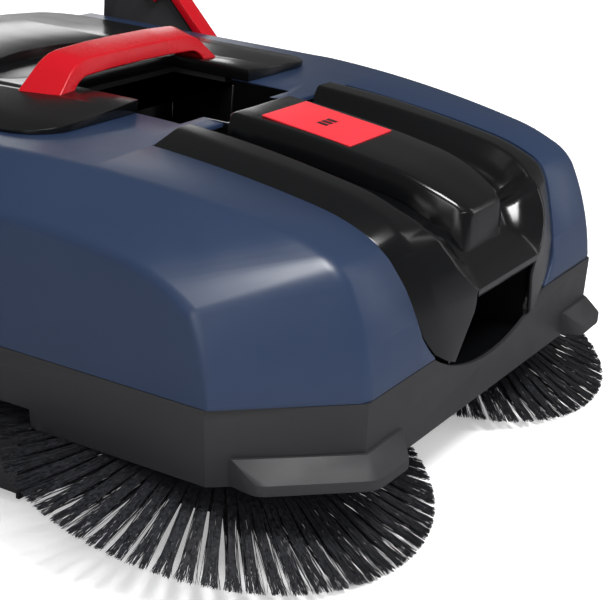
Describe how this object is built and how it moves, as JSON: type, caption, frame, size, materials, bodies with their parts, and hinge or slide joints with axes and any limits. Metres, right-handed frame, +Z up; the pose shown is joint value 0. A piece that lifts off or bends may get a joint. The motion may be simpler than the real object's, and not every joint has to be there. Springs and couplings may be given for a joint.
{
  "type": "push floor sweeper",
  "caption": "Walk-behind push sweeper with tilted disc brushes, a lift-out dust container with a carry handle, and a folding push bow.",
  "frame": {"origin": "on the floor, midway between the centres of the two disc brushes", "axes": "+X to the right, -Y towards the front (the brushes), +Z up"},
  "size_m": [0.652, 1.1049, 0.9443],
  "materials": {
    "frame_grey": "fine moulded texture, semi-matt",
    "cover_blue": "satin dark blue moulding",
    "gloss_black": "gloss black moulding",
    "label_red": "satin red plate",
    "handle_red": "gloss red moulding",
    "rubber": "matt rubber",
    "tyre": "matt rubber tread",
    "steel": "bright zinc-plated steel",
    "bow_metal": "dark powder-coated aluminium tube",
    "gear_plastic": "natural nylon",
    "bush": "oil-filled bearing plastic",
    "bristle": "stiff black nylon bristles"
  },
  "bodies": {
    "chassis": {"base_frame": "frame_grey", "front_cover": "cover_blue", "centre_insert": "gloss_black", "label_plate": "label_red", "left_bumper": "frame_grey", "right_bumper": "frame_grey", "dirt_ramp": "frame_grey", "sweep_lip": "rubber", "bin_housing": "frame_grey", "left_axle": "steel", "right_axle": "steel", "left_brush_spindle": "steel", "right_brush_spindle": "steel", "left_brush_boss": "frame_grey", "right_brush_boss": "frame_grey", "left_shaft_bearings": "bush", "right_shaft_bearings": "bush", "left_bow_bracket": "frame_grey", "right_bow_bracket": "frame_grey", "left_bow_pin": "steel", "right_bow_pin": "steel", "cover_screws": "steel"},
    "container": {"container_tub": "gloss_black", "container_lid": "gloss_black", "carry_handle": "handle_red", "container_seal": "rubber", "handle_screws": "steel"},
    "push_bow": {"bow_tube": "bow_metal", "bow_grip": "rubber"},
    "left_wheel": {"left_wheel_rim": "frame_grey", "left_tyre": "tyre", "left_wheel_gear": "gear_plastic", "left_wheel_cap": "handle_red"},
    "left_shaft": {"left_drive_shaft": "steel", "left_rear_pinion": "gear_plastic", "left_front_pinion": "gear_plastic"},
    "left_brush": {"left_brush_plate": "frame_grey", "left_bristles": "bristle"},
    "left_lever": {"left_clamp_lever": "handle_red", "left_lever_pin": "steel"},
    "right_wheel": {"right_wheel_rim": "frame_grey", "right_tyre": "tyre", "right_wheel_gear": "gear_plastic", "right_wheel_cap": "handle_red"},
    "right_shaft": {"right_drive_shaft": "steel", "right_rear_pinion": "gear_plastic", "right_front_pinion": "gear_plastic"},
    "right_brush": {"right_brush_plate": "frame_grey", "right_bristles": "bristle"},
    "right_lever": {"right_clamp_lever": "handle_red", "right_lever_pin": "steel"}
  },
  "joints": [
    {"name": "left_wheel_spin", "type": "hinge", "parent": "chassis", "child": "left_wheel", "pos_m": [-0.288, 0.27, 0.1], "axis": [1, 0, 0], "continuous": true},
    {"name": "left_shaft_spin", "type": "hinge", "parent": "chassis", "child": "left_shaft", "pos_m": [-0.166, -0.00959, 0.07805], "axis": [0, 0.9969, 0.0783], "continuous": true},
    {"name": "left_brush_spin", "type": "hinge", "parent": "chassis", "child": "left_brush", "pos_m": [-0.166, 0, 0.03408], "axis": [0, -0.213, 0.977], "continuous": true},
    {"name": "left_lever_flip", "type": "hinge", "parent": "chassis", "child": "left_lever", "pos_m": [-0.232, 0.33966, 0.26434], "axis": [-1, 0, 0], "range_deg": [0, 45]},
    {"name": "right_wheel_spin", "type": "hinge", "parent": "chassis", "child": "right_wheel", "pos_m": [0.288, 0.27, 0.1], "axis": [1, 0, 0], "continuous": true},
    {"name": "right_shaft_spin", "type": "hinge", "parent": "chassis", "child": "right_shaft", "pos_m": [0.166, -0.00959, 0.07805], "axis": [0, 0.9969, 0.0783], "continuous": true},
    {"name": "right_brush_spin", "type": "hinge", "parent": "chassis", "child": "right_brush", "pos_m": [0.166, 0, 0.03408], "axis": [0, -0.213, 0.977], "continuous": true},
    {"name": "right_lever_flip", "type": "hinge", "parent": "chassis", "child": "right_lever", "pos_m": [0.232, 0.33966, 0.26434], "axis": [-1, 0, 0], "range_deg": [0, 45]},
    {"name": "container_lift", "type": "slide", "parent": "chassis", "child": "container", "axis": [0, 0, 1], "range_m": [0, 0.25]},
    {"name": "bow_fold", "type": "hinge", "parent": "chassis", "child": "push_bow", "pos_m": [0, 0.378, 0.268], "axis": [1, 0, 0], "range_deg": [0, 125]}
  ],
  "couplings": [
    {"joint": "left_shaft_spin", "follows": "left_wheel_spin", "ratio": 6},
    {"joint": "left_brush_spin", "follows": "left_wheel_spin", "ratio": 1},
    {"joint": "right_shaft_spin", "follows": "right_wheel_spin", "ratio": -6},
    {"joint": "right_brush_spin", "follows": "right_wheel_spin", "ratio": -1}
  ]
}
